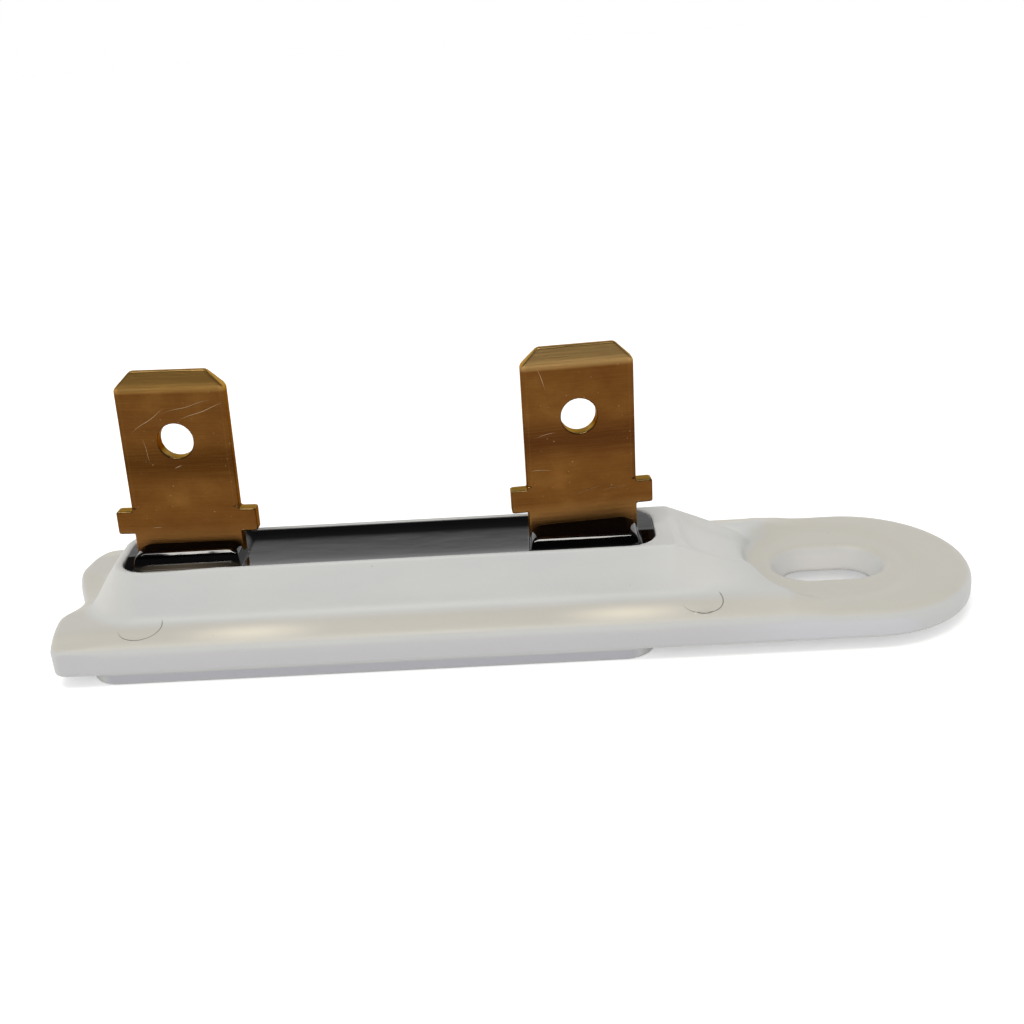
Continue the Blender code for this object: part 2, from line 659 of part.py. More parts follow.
def build_terminal(name, x, parts, cutters, surface):
    hole = arc((0.0, SHOULDER_TOP + BLADE_LENGTH - HOLE_FROM_TIP), HOLE_DIAMETER / 2, 0,
               360 - 360 / ROUND_SEGMENTS, ROUND_SEGMENTS - 1)
    terminal = flat_plate(name, [terminal_outline(), hole], -BLADE_THICKNESS / 2, BLADE_THICKNESS / 2, parts)
    terminal.matrix_world = Matrix.Translation((x, 0.0, 0.0)) @ Matrix.Rotation(math.pi / 2, 4, "X")
    coin = math.atan2(COIN_DEPTH, COIN_LENGTH)
    tip = SHOULDER_TOP + BLADE_LENGTH
    for side in (-1, 1):
        wedge = box(f"{name}_coin_{side + 1}", (-BLADE_WIDTH, 0.0, -3 * COIN_LENGTH),
                    (BLADE_WIDTH, 2 * COIN_LENGTH, 3 * COIN_LENGTH), cutters)
        pivot = Matrix.Translation((x, side * BLADE_THICKNESS / 2, tip - COIN_LENGTH))
        turn = Matrix.Rotation(math.pi if side < 0 else 0.0, 4, "Z") @ Matrix.Rotation(coin, 4, "X")
        wedge.matrix_world = pivot @ turn @ Matrix.Translation((0.0, COIN_LENGTH, 0.0))
        boolean(terminal, wedge, "DIFFERENCE")
    terminal.data.materials.append(surface)
    smooth(terminal, 30.0)
    return terminal


def spring_points(radius_start, radius_end, start, length, turns):
    points = []
    steps = int(turns * 14)
    for step in range(steps + 1):
        share = step / steps
        angle = 2 * math.pi * turns * share
        radius = radius_start + (radius_end - radius_start) * share
        points.append((start + length * share, radius * math.cos(angle), CASE_AXIS + radius * math.sin(angle)))
    return points


def build_cutoff(parts, cutters, steel, copper, ceramic, resin, wax):
    outer = CASE_DIAMETER / 2
    lead = LEAD_DIAMETER / 2
    floor = CASE_WALL
    case = turned("cutoff_case", [(outer, CASE_LENGTH), (outer, 0.0), (lead + SEAT_GAP, 0.0),
                                  (lead + SEAT_GAP, floor), (CASE_BORE, floor), (CASE_BORE, CASE_LENGTH)],
                  CASE_CLOSED_END, parts)
    case.data.materials.append(steel)

    slide = CASE_BORE - RUNNING_GAP
    place = CASE_CLOSED_END + floor + SEAT_GAP
    case_lead = wire("case_lead", [(place, 0.0, CASE_AXIS)] + lead_points(CASE_CLOSED_END, LEFT_TERMINAL),
                     LEAD_DIAMETER, parts)
    head = cylinder("case_lead_head", LEAD_HEAD_DIAMETER / 2, LEAD_HEAD_THICKNESS,
                    (place + LEAD_HEAD_THICKNESS / 2, 0.0, CASE_AXIS), (1, 0, 0), cutters)
    boolean(case_lead, head, "UNION")
    case_lead.data.materials.append(copper)

    place += LEAD_HEAD_THICKNESS + SEAT_GAP
    pellet = turned("thermal_pellet", [(0.0, PELLET_LENGTH), (slide, PELLET_LENGTH), (slide, 0.0), (0.0, 0.0)],
                    place, parts)
    pellet.data.materials.append(wax)
    place += PELLET_LENGTH + SEAT_GAP
    disc_profile = [(0.0, DISC_THICKNESS), (slide, DISC_THICKNESS), (slide, 0.0), (0.0, 0.0)]
    turned("pellet_disc", disc_profile, place, parts).data.materials.append(steel)
    place += DISC_THICKNESS + SEAT_GAP
    coil = slide - SPRING_WIRE / 2
    barrel = wire("barrel_spring", spring_points(coil, coil, place + SPRING_WIRE / 2,
                                                 BARREL_SPRING_LENGTH - SPRING_WIRE, 3.5), SPRING_WIRE, parts)
    barrel.data.materials.append(steel)
    place += BARREL_SPRING_LENGTH + SEAT_GAP
    turned("contact_disc", disc_profile, place, parts).data.materials.append(steel)
    place += DISC_THICKNESS + SEAT_GAP

    star = cylinder("star_contact", slide, STAR_THICKNESS, (place + STAR_THICKNESS / 2, 0.0, CASE_AXIS),
                    (1, 0, 0), parts)
    for finger in range(STAR_FINGERS):
        angle = 2 * math.pi * (finger + 0.5) / STAR_FINGERS
        middle = (place + STAR_THICKNESS / 2, slide * math.cos(angle), CASE_AXIS + slide * math.sin(angle))
        notch = cylinder(f"star_notch_{finger}", STAR_NOTCH, 3 * STAR_THICKNESS, middle, (1, 0, 0), cutters,
                         segments=12)
        boolean(star, notch, "DIFFERENCE")
    star.data.materials.append(copper)
    place += STAR_THICKNESS + SEAT_GAP

    isolated = wire("isolated_lead", [(place + LEAD_HEAD_THICKNESS / 2, 0.0, CASE_AXIS)]
                    + lead_points(CASE_OPEN_END, RIGHT_TERMINAL), LEAD_DIAMETER, parts)
    nail = cylinder("isolated_lead_head", LEAD_HEAD_DIAMETER / 2, LEAD_HEAD_THICKNESS,
                    (place + LEAD_HEAD_THICKNESS / 2, 0.0, CASE_AXIS), (1, 0, 0), cutters)
    boolean(isolated, nail, "UNION")
    isolated.data.materials.append(copper)

    bushing_start = CASE_OPEN_END - BUSHING_LENGTH
    trip_length = bushing_start - SEAT_GAP - place - SPRING_WIRE
    trip = wire("trip_spring", spring_points(coil, lead + SEAT_GAP + SPRING_WIRE, place + SPRING_WIRE / 2,
                                             trip_length, 3.5), SPRING_WIRE, parts)
    trip.data.materials.append(steel)

    bore = lead + SEAT_GAP
    bushing = turned("ceramic_bushing", [(slide, BUSHING_LENGTH), (slide, 0.0), (bore, 0.0),
                                         (bore, BUSHING_LENGTH)], bushing_start, parts)
    bushing.data.materials.append(ceramic)
    seal_end = SEAL_LENGTH - SEAT_GAP
    seal = turned("lead_seal", [(CASE_BORE * 0.6, seal_end), (slide, SEAT_GAP), (bore, SEAT_GAP),
                                (bore, seal_end)], CASE_OPEN_END, parts)
    seal.data.materials.append(resin)
    for name in ("cutoff_case", "thermal_pellet", "pellet_disc", "contact_disc", "ceramic_bushing", "lead_seal",
                 "star_contact", "case_lead", "isolated_lead", "barrel_spring", "trip_spring"):
        smooth(bpy.data.objects[name], 35.0)


def build():
    clear_scene()
    parts = new_collection("thermal_fuse")
    cutters = new_collection("cutters")
    white = material("white_thermoset", (0.58, 0.60, 0.58), 0.42)
    epoxy = material("black_epoxy", (0.008, 0.008, 0.010), 0.08)
    brass = material("brass", (0.44, 0.25, 0.10), 0.34, 1.0)
    steel = material("plated_steel", (0.62, 0.61, 0.58), 0.3, 1.0)
    copper = material("tinned_copper", (0.70, 0.62, 0.55), 0.3, 1.0)
    ceramic = material("ceramic", (0.78, 0.75, 0.70), 0.5)
    resin = material("sealing_resin", (0.16, 0.08, 0.03), 0.4)
    wax = material("organic_pellet", (0.50, 0.47, 0.36), 0.6)

    build_housing(parts, cutters, white)
    build_potting(parts, cutters, epoxy)
    build_terminal("terminal_left", LEFT_TERMINAL, parts, cutters, brass)
    build_terminal("terminal_right", RIGHT_TERMINAL, parts, cutters, brass)
    build_cutoff(parts, cutters, steel, copper, ceramic, resin, wax)
    for cutter in cutters.objects:
        cutter.hide_render = True
        cutter.display_type = "WIRE"


build()
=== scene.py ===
"""The looks of the thermal fuse: its white housing, black potting and brass blades, on a pale floor.

The housing, the potting and the blades are each described by a field in millimetres that is negative inside
the piece. Blending two such fields rounds the edge or fills the corner where they meet, as a mould does. A net
of quads is then drawn over the zero level of the field.
"""
import math

import bpy
import numpy as np
from mathutils import Matrix, Vector

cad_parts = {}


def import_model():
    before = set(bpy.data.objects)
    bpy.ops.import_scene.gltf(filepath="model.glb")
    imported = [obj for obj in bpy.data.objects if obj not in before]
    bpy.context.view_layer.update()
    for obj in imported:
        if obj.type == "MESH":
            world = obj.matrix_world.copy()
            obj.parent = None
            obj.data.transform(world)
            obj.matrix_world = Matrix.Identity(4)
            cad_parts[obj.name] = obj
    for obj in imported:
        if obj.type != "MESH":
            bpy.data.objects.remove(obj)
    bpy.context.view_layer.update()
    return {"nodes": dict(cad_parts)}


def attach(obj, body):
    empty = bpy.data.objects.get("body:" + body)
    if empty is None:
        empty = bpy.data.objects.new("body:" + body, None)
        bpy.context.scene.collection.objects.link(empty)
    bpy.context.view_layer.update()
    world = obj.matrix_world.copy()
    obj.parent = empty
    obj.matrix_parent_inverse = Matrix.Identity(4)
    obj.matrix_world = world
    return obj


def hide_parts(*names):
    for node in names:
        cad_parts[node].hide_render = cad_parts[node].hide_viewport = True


MM = 0.001

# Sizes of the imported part, in mm
PLAIN_END = -26.7
HALF_WIDTH = 6.75
PAD = (-24.6, 7.7)
PAD_HALF = 6.48
PAD_CORNER = 1.8
PAD_TOP = 0.75
EAR_CENTRE = 19.95
EAR_TOP = 2.2
TABLE = 2.75
TABLE_FALL = math.tan(math.radians(12))
RIM = 5.25
RIM_HALF = 2.78
NOSE_TOP = -23.55
NOSE_CORNER = 1.6
FOOT = 4.53
RAMP_START = 9.1
RAMP_LENGTH = 4.6
RAMP_FALL = 1.79
RAMP_TAPER = 0.66
DISH_RADIUS = 4.0
CLEARANCE_RADIUS = 4.8
SLOT_CENTRE = 18.45
SLOT_REACH = 1.1
POCKET = (-23.35, 8.15)
POCKET_HALF = 2.6
POCKET_CORNER = 1.4
LEFT_BLADE = -19.2
RIGHT_BLADE = 4.0
BLADE_HALF = 3.175
BLADE_THIN = 0.405
BLADE_TIP = 8.35
BLADE_TAIL = -6.2
CHAMFER_START = 7.35
COIN_SLOPE = 0.22
SHOULDER_HALF = 4.125
SHOULDER_DEEP = 1.4
HOLE_LEVEL = 4.25
HOLE_RADIUS = 1.03

# Sizes that are fitted to the photograph here, close to the part's own, in mm
DISH_FOOT = -25.3
DISH_DEPTH = 0.72
DISH_ASIDE = 0.2
TROUGH_LIP = 0.36
TROUGH_START = RAMP_START + 0.6
TROUGH_DEPTH = 0.38
SLOT_RADIUS = 2.28
SLOT_DRAFT = 0.57
SLOT_FRONT = 1.10
EJECTORS = ((-21.55, 4.75, 1.3), (10.35, 5.0, 1.2))  # x, distance to the side, radius
EJECTOR_TOP = 2.60
SIDE_COIN = 0.28
SIDE_COIN_SLOPE = 0.35
POOL_DIP = 0.38
BEADS = ((LEFT_BLADE, 1.85, 3.0, 5.93, 0.04), (RIGHT_BLADE, 2.64, 1.35, 5.88, 0.05))  # as bead_field, then fillet
BEAD_FOOT = 5.2
BEAD_SHOULDER = 5.62

# How the blades stand: (x, y, z) of the middle of the shoulder's top, then lean, tilt and twist in radians
POSES = {
    "left": ((-19.177, 0.04, 7.92), -0.0461, 0.0189, -0.0179),
    "right": ((3.977, -0.04, 8.19), 0.0, 0.0, 0.0971),
}

# A slanting face's field rises faster than distance. These factors bring it nearer to distance.
RAMP_EVEN = 0.94
DISH_EVEN = 0.85
PLAN_EVEN = 0.95
SLOT_EVEN = 0.85
POOL_EVEN = 0.85
CHAMFER_EVEN = 0.72
COIN_EVEN = 0.98
SIDE_COIN_EVEN = 0.94


# Fields

def join(a, b, k):
    """The union of two fields, with a fillet over a band of k where they meet."""
    h = np.maximum(k - np.abs(a - b), 0.0) / k
    return np.minimum(a, b) - h * h * k / 4


def keep(a, b, k):
    """What two fields have in common, with an edge rounded over a band of k where they meet."""
    return -join(-a, -b, k)


def ease(t):
    """0 below 0, 1 above 1 and a smooth step between."""
    t = np.clip(t, 0.0, 1.0)
    return t * t * (3 - 2 * t)


def rounded_rectangle(x, y, low, high, half, corner):
    """Signed distance to an upright rectangle with rounded corners."""
    dx = np.abs(x - (low + high) / 2) - (high - low) / 2 + corner
    dy = np.abs(y) - half + corner
    outside = np.hypot(np.maximum(dx, 0.0), np.maximum(dy, 0.0))
    return outside + np.minimum(np.maximum(dx, dy), 0.0) - corner


def capsule(x, y, centre, reach, radius):
    """Signed distance to an upright slot with round ends."""
    return np.hypot(np.maximum(np.abs(x - centre) - reach, 0.0), y) - radius


def plane(z, run, start, slope):
    """Signed distance to a plane that starts at a level and climbs with the run."""
    return (z - start - slope * run) / math.hypot(1.0, slope)


def floor_height(x):
    """The pocket's floor, with the well under the cutoff."""
    middle, half, low, rise = -7.6, 5.8, 0.5, 0.8
    return low + np.clip(np.abs(x - middle) - half, 0.0, rise)


def pocket_field(x, y):
    """Signed distance to the pocket's plan, which widens a little beside the left blade."""
    wide = np.where(y < 0, 0.10 * ease((-17.0 - x) / 3.0), 0.0)
    return rounded_rectangle(x, y, POCKET[0] + 0.25, POCKET[1], POCKET_HALF + wide, POCKET_CORNER + 0.2)


def plan_field(x, y):
    """Signed distance to the housing's plan: lobes and notch at the plain end, a round ear at the other."""
    side = np.where(x > EAR_CENTRE, np.hypot(x - EAR_CENTRE, y), np.abs(y)) - HALF_WIDTH
    skew = -0.15 - 0.6 * ease((y + 1.5) / 5.0)
    notch = 0.6 * np.exp(-((y + 0.5) / 1.9) ** 2)
    drawn_in = 0.17 * np.maximum(np.abs(y) - 3.4, 0.0)
    end = PLAIN_END + skew + notch + drawn_in
    return keep(side, (end - x) * PLAN_EVEN, 0.7)


def table_height(x, y):
    """The flange's top: level beside the ridge, falling to its edges and running out to the ear's level."""
    run_out = np.clip((x - 15.2) / 2.2, 0.0, 1.0)
    away = np.abs(y)
    start, straight = 4.6, 5.4
    curve = np.maximum(away - start, 0.0) ** 2 / (2 * (straight - start))
    fall = np.where(away < straight, curve, away - (start + straight) / 2) * TABLE_FALL
    return EAR_TOP + (TABLE - fall - EAR_TOP) * (1 - run_out)


def ridge_field(x, y, z, table):
    """The ridge over the flange's table: drafted flanks, a ramp to the ear and a trough along the ramp."""
    away = np.abs(y)
    beyond_ear = 40.0
    share = np.maximum((x - RAMP_START) / RAMP_LENGTH, 0.0)
    top = RIM - RAMP_FALL * share
    crest = RIM_HALF - RAMP_TAPER * np.minimum(share, 1.3) ** 2
    outline = rounded_rectangle(x, y, NOSE_TOP, beyond_ear, crest, NOSE_CORNER)
    rise = np.maximum(top - table, 0.0)
    run = FOOT - crest
    flank = (z - table - rise * (1 - outline / run)) * np.cos(np.arctan2(rise, run))
    ridge = keep(flank, (z - top) * RAMP_EVEN, 0.14)
    trough = keep(away - crest + TROUGH_LIP, TROUGH_START - x, 1.2)
    trough = keep(trough, (top - TROUGH_DEPTH - z) * RAMP_EVEN, 0.7)
    return keep(ridge, -trough, 0.4)


def dish_height(x, y):
    """The hollow that runs down over the plain end, round across and steeper where it meets the ridge's nose."""
    along = TABLE - DISH_DEPTH + 0.45 * (x - PLAIN_END) + 1.6 * np.maximum(x - DISH_FOOT, 0.0)
    across = np.minimum(np.abs(y + DISH_ASIDE), DISH_RADIUS - 0.1)
    return along + DISH_RADIUS - np.sqrt(DISH_RADIUS ** 2 - across ** 2)


def housing_field(x, y, z):
    """The whole moulding, in the order in which its forms are added and cut."""
    away = np.abs(y)
    table = table_height(x, y)
    body = join(ridge_field(x, y, z, table), z - table, 0.55)
    body = keep(body, (z - dish_height(x, y)) * DISH_EVEN, 0.5)
    body = keep(body, CLEARANCE_RADIUS - np.hypot(x - SLOT_CENTRE, y), 1.0)
    body = join(body, z - EAR_TOP, 0.6)

    # The edge of the plan is crisper round the plain end
    body = keep(body, plan_field(x, y), 0.36 + 0.5 * ease((x + 25.5) / 3.0))
    body = keep(body, PAD_TOP - z, 0.3)
    pad = rounded_rectangle(x, y, *PAD, PAD_HALF, PAD_CORNER)
    pad = keep(keep(pad, -z, 0.2), z - 1.6, 0.1)
    body = join(body, pad, 0.15)

    for place, aside, radius in EJECTORS:
        disc = keep(np.hypot(x - place, away - aside) - radius, z - EJECTOR_TOP, 0.05)
        body = np.minimum(body, np.maximum(disc, 2.0 - z))

    across = np.where(y < 0, SLOT_FRONT * y, y)
    radius = SLOT_RADIUS - SLOT_DRAFT * np.clip(EAR_TOP - z, 0.0, 1.5)
    body = keep(body, -capsule(x, across, SLOT_CENTRE, SLOT_REACH, radius) * SLOT_EVEN, 0.36)
    return keep(body, -keep(pocket_field(x, y), floor_height(x) - z, 0.2), 0.1)


def turned(pose):
    """The way a blade is turned."""
    lean, tilt, twist = pose[1:]
    return Matrix.Rotation(twist, 3, "Z") @ Matrix.Rotation(lean, 3, "X") @ Matrix.Rotation(tilt, 3, "Y")


def blade_field(x, y, z):
    """A stamped blade in its own frame, whose level 0 is the top of the shoulder."""
    away = np.abs(x)
    tip = keep(away - BLADE_HALF, z - BLADE_TIP, 0.1)
    tip = keep(tip, (away - BLADE_HALF + z - CHAMFER_START) * CHAMFER_EVEN, 0.12)
    tip = keep(tip, BLADE_TAIL - z, 0.1)
    shoulder = keep(away - SHOULDER_HALF, np.abs(z + SHOULDER_DEEP / 2) - SHOULDER_DEEP / 2, 0.12)
    outline = join(tip, shoulder, 0.08)
    outline = keep(outline, HOLE_RADIUS - np.hypot(x, z - HOLE_LEVEL), 0.05)
    faces = np.abs(y) - BLADE_THIN
    coin = (faces + COIN_SLOPE * (z - CHAMFER_START)) * COIN_EVEN
    side_coin = (faces + SIDE_COIN_SLOPE * (away - BLADE_HALF + SIDE_COIN)) * SIDE_COIN_EVEN
    side_coin = np.where(z > 0.15, side_coin, -1.0)
    return keep(keep(keep(faces, coin, 0.07), side_coin, 0.04), outline, 0.08)


def bead_field(x, y, z, centre, front, steep, top):
    """A bulging bead of potting before a blade's neck: a steep wall, a sloping shoulder and a nearly level cap."""
    front_run = y + front
    end_run = 3.15 - np.abs(x - centre)
    wall = plane(z, front_run, BEAD_FOOT, steep)
    shoulder = plane(z, front_run - (BEAD_SHOULDER - BEAD_FOOT) / steep, BEAD_SHOULDER, 0.82)
    cap = plane(z, front_run, top - 0.12, 0.09)
    bead = keep(keep(wall, shoulder, 0.04), cap, 0.06)
    end = keep(plane(z, end_run, 5.15, 5.0), plane(z, end_run, 5.60, 0.5), 0.15)
    return keep(keep(bead, end, 0.12), y - 0.1, 0.1)


def potting_field(x, y, z):
    """The potting: a pool that dips between the blades and climbs to the rim, with a bead before each blade."""
    across = np.minimum(np.abs(y) / 2.63, 1.0)
    near_blade = np.maximum(ease((-15.9 - x) / 0.8), ease((x - 0.7) / 0.8))
    meniscus = 1 - 0.15 * across ** 2 - 0.85 * across ** 7
    height = RIM - 0.04 - POOL_DIP * (1 - near_blade) * meniscus
    beside_bead = np.maximum(ease((-21.6 - x) / 0.5), ease((x - 7.0) / 0.4))
    height = height - 0.28 * beside_bead * np.maximum(-0.5 - y, 0.0)
    top = (z - height) * POOL_EVEN
    for centre, front, steep, bead_top, fillet in BEADS:
        top = join(top, bead_field(x, y, z, centre, front, steep, bead_top), fillet)
    body = keep(pocket_field(x, y) + 0.02, top, 0.06)
    return keep(body, floor_height(x) + 0.05 - z, 0.1)


# Nets

def gradient(field, points):
    """A field's value and slope at points."""
    reach = 0.02
    level = field(*points.T)
    slope = []
    for axis in range(3):
        shift = np.zeros(3)
        shift[axis] = reach
        slope.append((field(*(points + shift).T) - field(*(points - shift).T)) / (2 * reach))
    return level, np.stack(slope, axis=1)


def net(field, low, high, step):
    """Quads over the zero level of a field: (points, faces, normals) in mm.

    Each cell of a grid that the surface passes through gets one point, and each edge of the grid that it crosses
    gets the quad of the four cells round that edge.
    """
    axes = [np.linspace(a, b, int(round((b - a) / step)) + 1) for a, b in zip(low, high)]
    value = field(*np.meshgrid(*axes, indexing="ij"))
    cells = tuple(n - 1 for n in value.shape)
    total = np.zeros(cells + (3,))
    count = np.zeros(cells)
    crossings = []
    for axis in range(3):
        first = [slice(None)] * 3
        second = [slice(None)] * 3
        first[axis] = slice(None, -1)
        second[axis] = slice(1, None)
        a = value[tuple(first)]
        b = value[tuple(second)]
        crossed = (a < 0) != (b < 0)
        where = np.argwhere(crossed)
        share = (a / np.where(a == b, 1.0, a - b))[crossed]
        points = np.stack([axes[i][where[:, i]] for i in range(3)], axis=1)
        points[:, axis] += share * (axes[axis][1] - axes[axis][0])
        others = [i for i in range(3) if i != axis]
        inner = np.ones(len(where), dtype=bool)
        for i in others:
            inner &= (where[:, i] > 0) & (where[:, i] < value.shape[i] - 1)
        where = where[inner]
        points = points[inner]
        corners = []
        for da, db in ((-1, -1), (0, -1), (0, 0), (-1, 0)):
            cell = where.copy()
            cell[:, others[0]] += da
            cell[:, others[1]] += db
            corners.append(cell)
            np.add.at(total, tuple(cell.T), points)
            np.add.at(count, tuple(cell.T), 1)
        rising = a[tuple(where.T)] < 0
        crossings.append((axis, corners, rising))

    used = count > 0
    number = np.full(cells, -1)
    number[used] = np.arange(used.sum())
    points = total[used] / count[used][:, None]
    faces = []
    for axis, corners, rising in crossings:
        quad = np.stack([number[tuple(cell.T)] for cell in corners], axis=1)
        outward = rising if axis != 1 else ~rising
        quad[~outward] = quad[~outward][:, ::-1]
        faces.append(quad)

    # Slide the points onto the surface, each within reach of its own cell
    start = points.copy()
    for _ in range(4):
        level, slope = gradient(field, points)
        shift = level[:, None] * slope / np.maximum((slope ** 2).sum(axis=1), 1e-6)[:, None]
        points = points - np.clip(shift, -step / 2, step / 2)
        points = start + np.clip(points - start, -step * 0.7, step * 0.7)
    _, slope = gradient(field, points)
    normals = slope / np.maximum(np.linalg.norm(slope, axis=1), 1e-6)[:, None]
    return points, np.concatenate(faces), normals


def piece(name, node, field, low, high, step, surface, place=Matrix.Identity(4)):
    """Builds one piece from its field and puts it in the place of a node of the part."""
    points, faces, normals = net(field, low, high, step)
    mesh = bpy.data.meshes.new(name)
    mesh.from_pydata((points * MM).tolist(), [], faces.tolist())
    mesh.shade_smooth()
    mesh.normals_split_custom_set_from_vertices(normals.tolist())
    mesh.materials.append(surface)
    made = bpy.data.objects.new(name, mesh)
    made.matrix_world = place
    bpy.context.scene.collection.objects.link(made)
    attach(made, "root")
    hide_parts(node)


# Materials

class Surface:
    """A material and short names for the nodes that it uses. Lengths are in mm."""

    def __init__(self, name):
        self.material = bpy.data.materials.new(name)
        self.material.use_nodes = True
        self.tree = self.material.node_tree
        self.shader = self.tree.nodes["Principled BSDF"]
        self.position = self.tree.nodes.new("ShaderNodeTexCoord").outputs["Object"]

    def feed(self, node, name, value):
        """Links a value to an input, or sets the input to a plain number."""
        if value is None:
            return
        if hasattr(value, "is_linked"):
            self.tree.links.new(value, node.inputs[name])
        else:
            node.inputs[name].default_value = value

    def math(self, operation, a, b=None, c=None):
        node = self.tree.nodes.new("ShaderNodeMath")
        node.operation = operation
        for index, value in enumerate((a, b, c)):
            self.feed(node, index, value)
        return node.outputs[0]

    def product(self, *values):
        """Several values multiplied with each other."""
        total = values[0]
        for value in values[1:]:
            total = self.math("MULTIPLY", total, value)
        return total

    def scaled(self, scale, move=(0.0, 0.0, 0.0)):
        """The object's coordinates, stretched by a scale on each axis."""
        node = self.tree.nodes.new("ShaderNodeMapping")
        node.inputs["Scale"].default_value = [value / MM for value in scale]
        node.inputs["Location"].default_value = move
        self.tree.links.new(self.position, node.inputs["Vector"])
        return node.outputs[0]

    def axes(self):
        """The object's coordinates as three values."""
        node = self.tree.nodes.new("ShaderNodeSeparateXYZ")
        self.tree.links.new(self.scaled((1.0, 1.0, 1.0)), node.inputs[0])
        return node.outputs[0], node.outputs[1], node.outputs[2]

    def normal_axis(self, axis):
        """One component of the surface's direction in the object's own frame."""
        turn = self.tree.nodes.new("ShaderNodeVectorTransform")
        turn.vector_type = "NORMAL"
        turn.convert_from = "WORLD"
        turn.convert_to = "OBJECT"
        self.tree.links.new(self.tree.nodes.new("ShaderNodeNewGeometry").outputs["Normal"], turn.inputs[0])
        node = self.tree.nodes.new("ShaderNodeSeparateXYZ")
        self.tree.links.new(turn.outputs[0], node.inputs[0])
        return node.outputs[axis]

    def noise(self, scale, detail, rough, move=(0.0, 0.0, 0.0)):
        node = self.tree.nodes.new("ShaderNodeTexNoise")
        node.inputs["Scale"].default_value = 1.0
        node.inputs["Detail"].default_value = detail
        node.inputs["Roughness"].default_value = rough
        self.tree.links.new(self.scaled(scale, move), node.inputs["Vector"])
        return node.outputs["Fac"]

    def ramp(self, value, stops):
        """Colours over a value, from stops of (place, colour)."""
        node = self.tree.nodes.new("ShaderNodeValToRGB")
        while len(node.color_ramp.elements) < len(stops):
            node.color_ramp.elements.new(0.5)
        for element, (place, colour) in zip(node.color_ramp.elements, stops):
            element.position = place
            element.color = (*colour, 1.0)
        self.feed(node, "Fac", value)
        return node.outputs["Color"]

    def mix(self, amount, a, b):
        """Colour a where the amount is 0 and colour b where it is 1."""
        node = self.tree.nodes.new("ShaderNodeMix")
        node.data_type = "RGBA"
        self.feed(node, 0, amount)
        self.feed(node, 6, a if hasattr(a, "is_linked") else (*a, 1.0))
        self.feed(node, 7, b if hasattr(b, "is_linked") else (*b, 1.0))
        return node.outputs[2]

    def over(self, tone, colour, *masks):
        """A tone with a colour laid over it, as far as the masks' product says."""
        return self.mix(self.product(*masks), tone, colour)

    def level(self, value, low, high, start=0.0, end=1.0):
        """A value stretched from one range to another and held at its ends."""
        node = self.tree.nodes.new("ShaderNodeMapRange")
        self.feed(node, "Value", value)
        node.inputs["From Min"].default_value = low
        node.inputs["From Max"].default_value = high
        node.inputs["To Min"].default_value = start
        node.inputs["To Max"].default_value = end
        return node.outputs[0]

    def bell(self, value, centre, width):
        """A smooth hump over a value, 1 at its centre and 0 at half its width to either side."""
        away = self.math("ABSOLUTE", self.math("SUBTRACT", value, centre))
        node = self.tree.nodes.new("ShaderNodeMapRange")
        node.interpolation_type = "SMOOTHSTEP"
        self.feed(node, "Value", away)
        node.inputs["From Min"].default_value = width / 2
        node.inputs["From Max"].default_value = 0.0
        return node.outputs[0]

    def reach(self, x, y):
        """The distance from the middle of a plane."""
        return self.math("SQRT", self.math("ADD", self.math("MULTIPLY", x, x), self.math("MULTIPLY", y, y)))

    def scratch(self, x, z, x0, z0, x1, z1, width):
        """A slightly wavering line between two points, fading at its ends."""
        length = math.hypot(x1 - x0, z1 - z0)
        ux, uz = (x1 - x0) / length, (z1 - z0) / length
        dx = self.math("SUBTRACT", x, x0)
        dz = self.math("SUBTRACT", z, z0)
        along = self.math("ADD", self.math("MULTIPLY", dx, ux), self.math("MULTIPLY", dz, uz))
        across = self.math("SUBTRACT", self.math("MULTIPLY", dz, ux), self.math("MULTIPLY", dx, uz))
        sway = self.math("MULTIPLY", self.math("SINE", self.math("MULTIPLY", along, 2.3 / width ** 0.1)), 0.03)
        line = self.bell(self.math("SUBTRACT", across, sway), 0.0, 2 * width)
        return self.math("MULTIPLY", line, self.bell(along, length / 2, length * 1.2))

    def bump(self, height, distance):
        node = self.tree.nodes.new("ShaderNodeBump")
        node.inputs["Strength"].default_value = 1.0
        node.inputs["Distance"].default_value = distance * MM
        self.tree.links.new(height, node.inputs["Height"])
        self.tree.links.new(node.outputs["Normal"], self.shader.inputs["Normal"])

    def seen_ray(self):
        """1 for what the camera sees, straight or in a gloss or through glass."""
        path = self.tree.nodes.new("ShaderNodeLightPath")
        seen = self.math("MAXIMUM", path.outputs["Is Camera Ray"], path.outputs["Is Glossy Ray"])
        return self.math("MAXIMUM", seen, path.outputs["Is Transmission Ray"])

    def finish(self, colour, roughness, **numbers):
        """Sets the shader. A name in numbers is that of a socket, with _ for a space."""
        self.feed(self.shader, "Base Color", colour)
        self.feed(self.shader, "Roughness", roughness)
        for name, value in numbers.items():
            self.shader.inputs[name.replace("_", " ")].default_value = value
        return self.material


